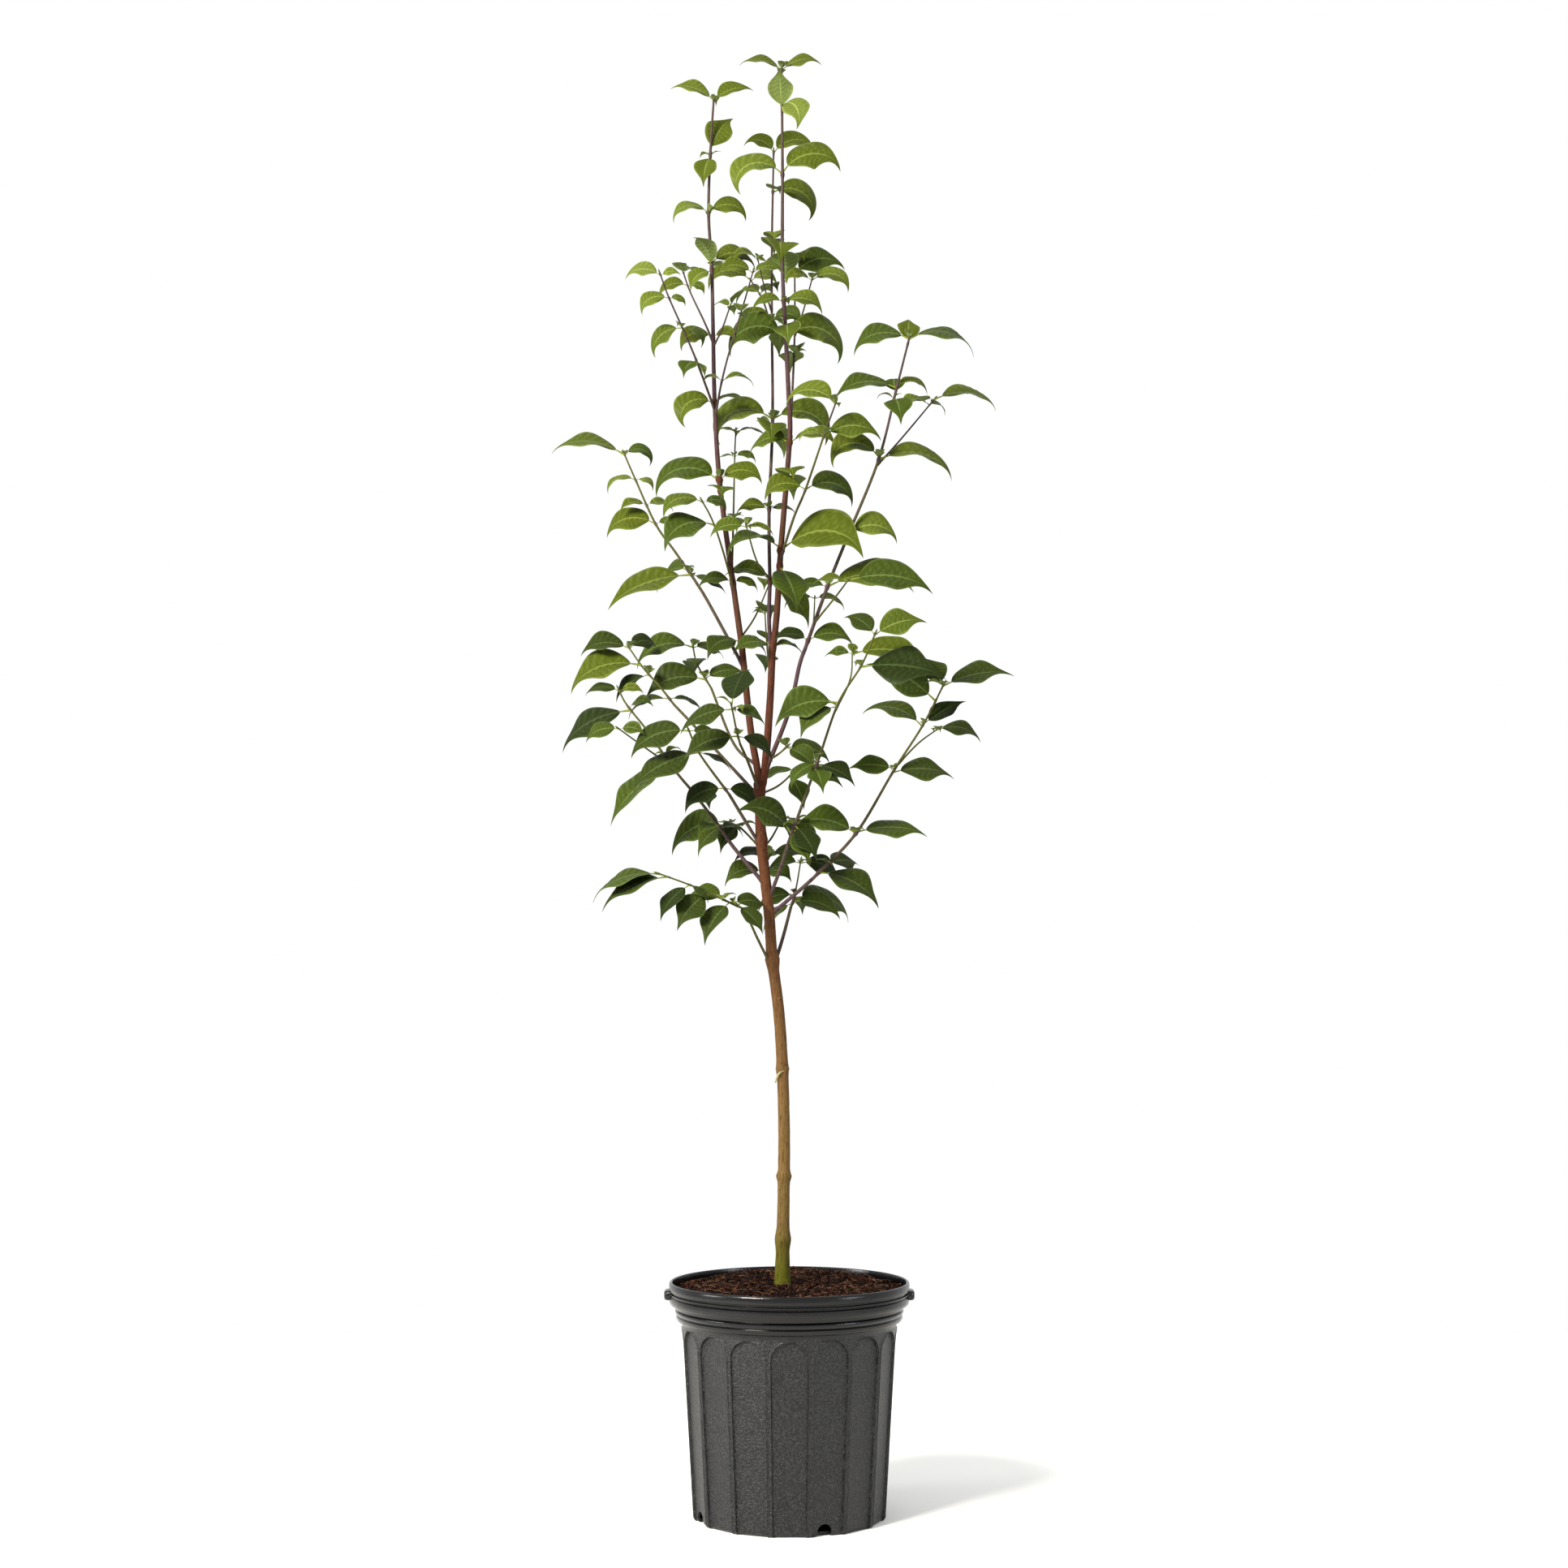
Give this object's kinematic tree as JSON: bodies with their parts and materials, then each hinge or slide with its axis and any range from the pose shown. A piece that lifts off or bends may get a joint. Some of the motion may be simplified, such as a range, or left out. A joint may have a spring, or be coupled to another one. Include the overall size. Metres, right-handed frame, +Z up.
{
  "type": "potted cherokee princess dogwood",
  "caption": "Young dogwood tree with drooping paired leaves on slender upright leaders and side boughs, its thin trunk standing in a fluted round nursery pot of bark mix",
  "frame": {"origin": "centre of the pot's flat underside, on the ground plane; the trunk leaves the mix 8 mm to its left", "axes": "+Z up; +X to the right and -Y towards the viewer of the picture"},
  "size_m": [0.5501, 0.3737, 1.7333],
  "materials": {
    "black_plastic": "satin",
    "bark_mix": "rough",
    "bark": "matt",
    "foliage": "satin"
  },
  "bodies": {
    "root": {"pot": "black_plastic", "bark_mix": "bark_mix", "trunk": "bark", "middle_leader": "bark", "left_leader": "bark", "twin_leader": "bark", "right_bough": "bark", "upper_left_bough": "bark", "middle_left_bough": "bark", "back_left_bough": "bark", "front_left_bough": "bark", "green_left_bough": "bark", "long_left_bough": "bark", "front_right_bough": "bark", "long_right_bough": "bark", "low_left_bough": "bark", "low_right_bough": "bark", "back_bough": "bark", "left_leader_leaves": "foliage", "middle_leader_leaves": "foliage", "twin_leader_leaves": "foliage", "right_bough_leaves": "foliage", "right_spur_leaves": "foliage", "upper_left_leaves": "foliage", "middle_left_leaves": "foliage", "back_left_leaves": "foliage", "front_left_leaves": "foliage", "green_left_leaves": "foliage", "long_left_leaves": "foliage", "front_right_leaves": "foliage", "long_right_leaves": "foliage", "low_left_leaves": "foliage", "low_right_leaves": "foliage", "left_spur_leaves": "foliage", "right_hanging_leaves": "foliage", "fork_spur_leaves": "foliage", "back_low_leaves": "foliage", "back_leaves": "foliage"}
  },
  "joints": []
}
